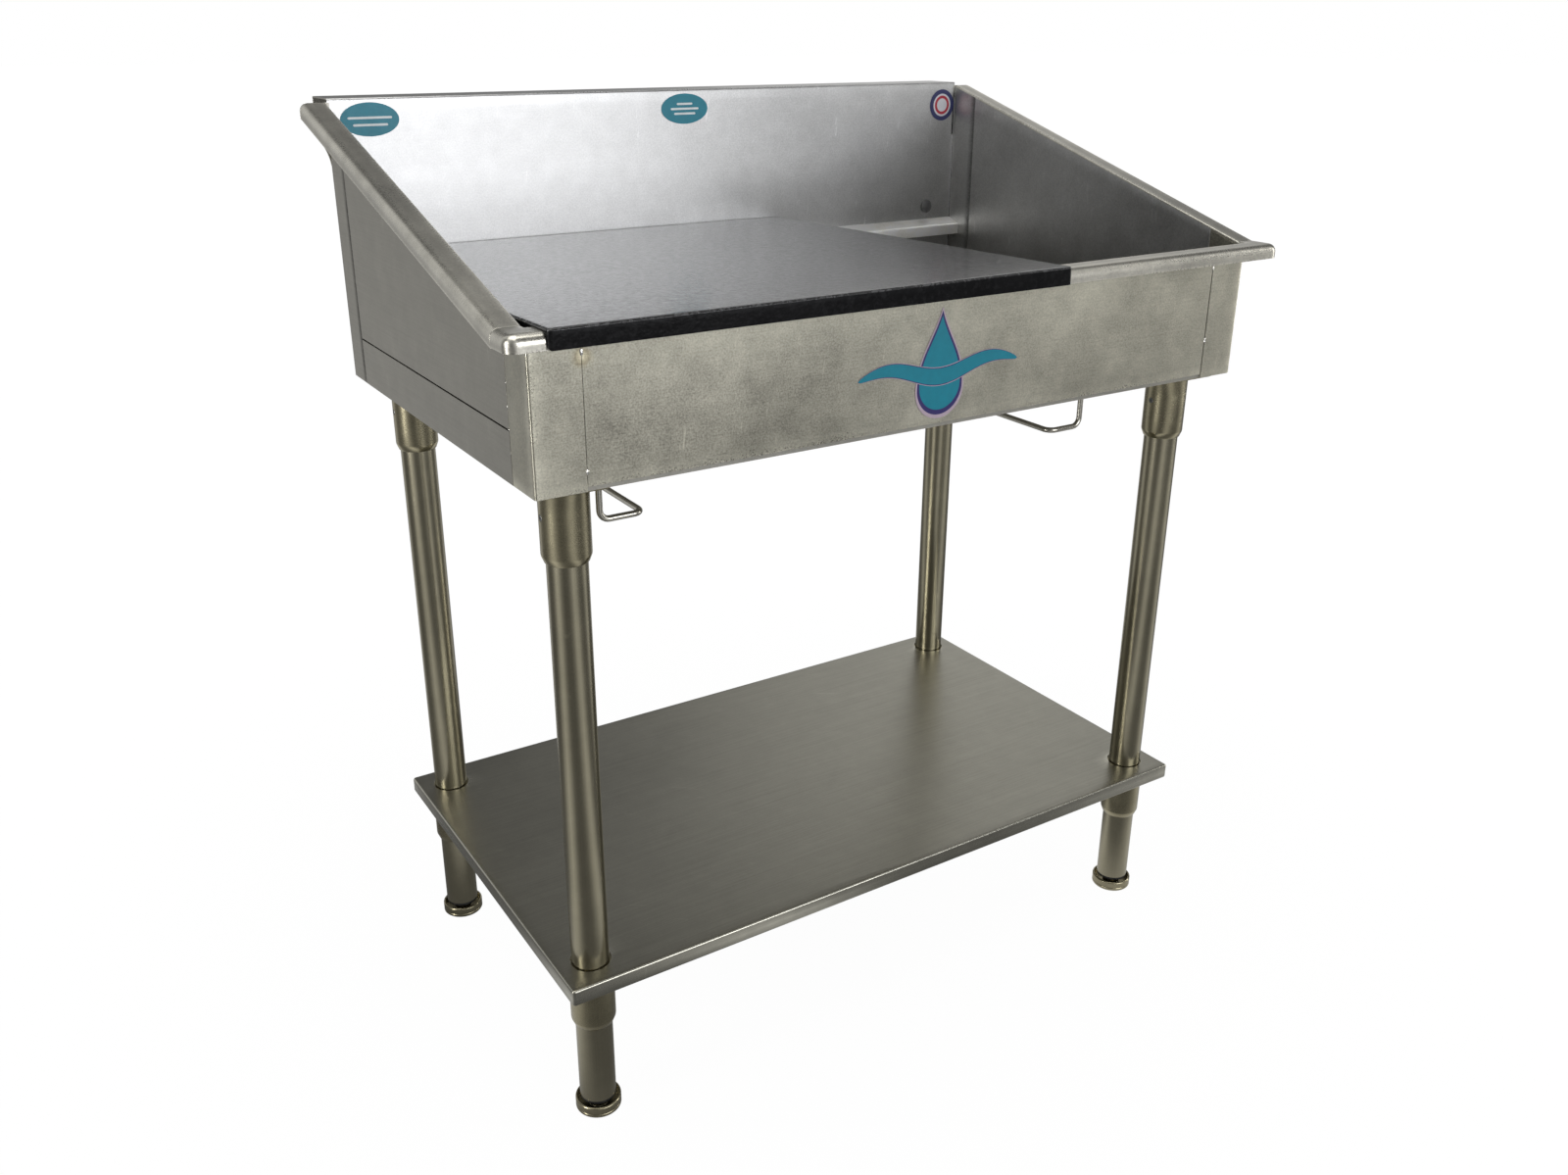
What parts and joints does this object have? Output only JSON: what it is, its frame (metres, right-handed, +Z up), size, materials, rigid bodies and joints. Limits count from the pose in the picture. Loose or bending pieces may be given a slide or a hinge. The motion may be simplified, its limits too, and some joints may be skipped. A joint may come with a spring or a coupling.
{
  "type": "pet bathtub",
  "caption": "Stainless pet grooming bathtub with sloping sides, removable black platform over part of the basin, drain, platform storage rails, tube legs, undershelf and levelling feet.",
  "frame": {"origin": "on the floor, at the centre of the footprint of the whole object", "axes": "+Z up, +Y towards the high back wall, +X to the right as seen from the front, where the basin is open"},
  "size_m": [0.969, 0.6424, 1.072],
  "materials": {
    "stainless_sheet": "worn mill-finish stainless sheet, cloudy with fine scratches and polished weld zones",
    "platform_coating": "glossy black textured powder coat with a fine pebbled skin",
    "drain_steel": "turned and satin polished",
    "nut_brass": "cast and machined, slightly tarnished",
    "rubber": "moulded, matt",
    "rail_rod": "drawn round rod, bright",
    "teal_film": "printed vinyl film, satin, plain with no lettering",
    "badge_film": "printed vinyl film, plain rings, no lettering",
    "leg_tube": "drawn tube with lengthwise grain",
    "socket_steel": "drawn collar, satin",
    "screw_steel": "machined, dull",
    "cup_steel": "turned, satin, scuffed at the rim",
    "thread_steel": "rolled thread",
    "black_nylon": "moulded"
  },
  "bodies": {
    "frame": {"front_panel": "stainless_sheet", "front_left_corner": "stainless_sheet", "front_right_corner": "stainless_sheet", "left_side_panel": "stainless_sheet", "right_side_panel": "stainless_sheet", "back_panel": "stainless_sheet", "floor_pan": "stainless_sheet", "platform_ledge": "stainless_sheet", "undershelf": "stainless_sheet", "drain_body": "drain_steel", "drain_tailpiece": "drain_steel", "drain_locknut": "nut_brass", "drain_slip_nut": "nut_brass", "drain_gasket": "rubber", "back_wall_plug": "rubber", "left_storage_rail": "rail_rod", "right_storage_rail": "rail_rod", "left_oval_label": "teal_film", "centre_oval_label": "teal_film", "front_graphic": "teal_film", "round_badge": "badge_film", "front_left_leg": "leg_tube", "front_left_upper_socket": "socket_steel", "front_left_lower_socket": "socket_steel", "front_left_upper_screw": "screw_steel", "front_left_lower_screw": "screw_steel", "front_left_foot_insert": "black_nylon", "front_right_leg": "leg_tube", "front_right_upper_socket": "socket_steel", "front_right_lower_socket": "socket_steel", "front_right_upper_screw": "screw_steel", "front_right_lower_screw": "screw_steel", "front_right_foot_insert": "black_nylon", "rear_left_leg": "leg_tube", "rear_left_upper_socket": "socket_steel", "rear_left_lower_socket": "socket_steel", "rear_left_upper_screw": "screw_steel", "rear_left_lower_screw": "screw_steel", "rear_left_foot_insert": "black_nylon", "rear_right_leg": "leg_tube", "rear_right_upper_socket": "socket_steel", "rear_right_lower_socket": "socket_steel", "rear_right_upper_screw": "screw_steel", "rear_right_lower_screw": "screw_steel", "rear_right_foot_insert": "black_nylon"},
    "platform": {"platform": "platform_coating"},
    "strainer": {"drain_strainer": "drain_steel"},
    "front_left_foot_stem": {"front_left_foot_stem": "thread_steel"},
    "front_left_foot_cup": {"front_left_foot_cup": "cup_steel"},
    "front_right_foot_stem": {"front_right_foot_stem": "thread_steel"},
    "front_right_foot_cup": {"front_right_foot_cup": "cup_steel"},
    "rear_left_foot_stem": {"rear_left_foot_stem": "thread_steel"},
    "rear_left_foot_cup": {"rear_left_foot_cup": "cup_steel"},
    "rear_right_foot_stem": {"rear_right_foot_stem": "thread_steel"},
    "rear_right_foot_cup": {"rear_right_foot_cup": "cup_steel"}
  },
  "joints": [
    {"name": "platform_lift", "type": "slide", "parent": "frame", "child": "platform", "axis": [0, 0, 1], "range_m": [0, 0.25]},
    {"name": "strainer_lift", "type": "slide", "parent": "frame", "child": "strainer", "axis": [0, 0, 1], "range_m": [0, 0.06]},
    {"name": "front_left_foot_travel", "type": "slide", "parent": "frame", "child": "front_left_foot_stem", "axis": [0, 0, -1], "range_m": [0, 0.0196]},
    {"name": "front_left_foot_turn", "type": "hinge", "parent": "front_left_foot_stem", "child": "front_left_foot_cup", "pos_m": [-0.4073, -0.2362, 0.01], "axis": [0, 0, -1], "range_deg": [0, 3600]},
    {"name": "front_right_foot_travel", "type": "slide", "parent": "frame", "child": "front_right_foot_stem", "axis": [0, 0, -1], "range_m": [0, 0.0196]},
    {"name": "front_right_foot_turn", "type": "hinge", "parent": "front_right_foot_stem", "child": "front_right_foot_cup", "pos_m": [0.4073, -0.2362, 0.01], "axis": [0, 0, -1], "range_deg": [0, 3600]},
    {"name": "rear_left_foot_travel", "type": "slide", "parent": "frame", "child": "rear_left_foot_stem", "axis": [0, 0, -1], "range_m": [0, 0.0196]},
    {"name": "rear_left_foot_turn", "type": "hinge", "parent": "rear_left_foot_stem", "child": "rear_left_foot_cup", "pos_m": [-0.4073, 0.2023, 0.01], "axis": [0, 0, -1], "range_deg": [0, 3600]},
    {"name": "rear_right_foot_travel", "type": "slide", "parent": "frame", "child": "rear_right_foot_stem", "axis": [0, 0, -1], "range_m": [0, 0.0196]},
    {"name": "rear_right_foot_turn", "type": "hinge", "parent": "rear_right_foot_stem", "child": "rear_right_foot_cup", "pos_m": [0.4073, 0.2023, 0.01], "axis": [0, 0, -1], "range_deg": [0, 3600]}
  ],
  "couplings": [
    {"joint": "front_left_foot_travel", "follows": "front_left_foot_turn", "m_per_rad": 0.00031096},
    {"joint": "front_right_foot_travel", "follows": "front_right_foot_turn", "m_per_rad": 0.00031096},
    {"joint": "rear_left_foot_travel", "follows": "rear_left_foot_turn", "m_per_rad": 0.00031096},
    {"joint": "rear_right_foot_travel", "follows": "rear_right_foot_turn", "m_per_rad": 0.00031096}
  ]
}
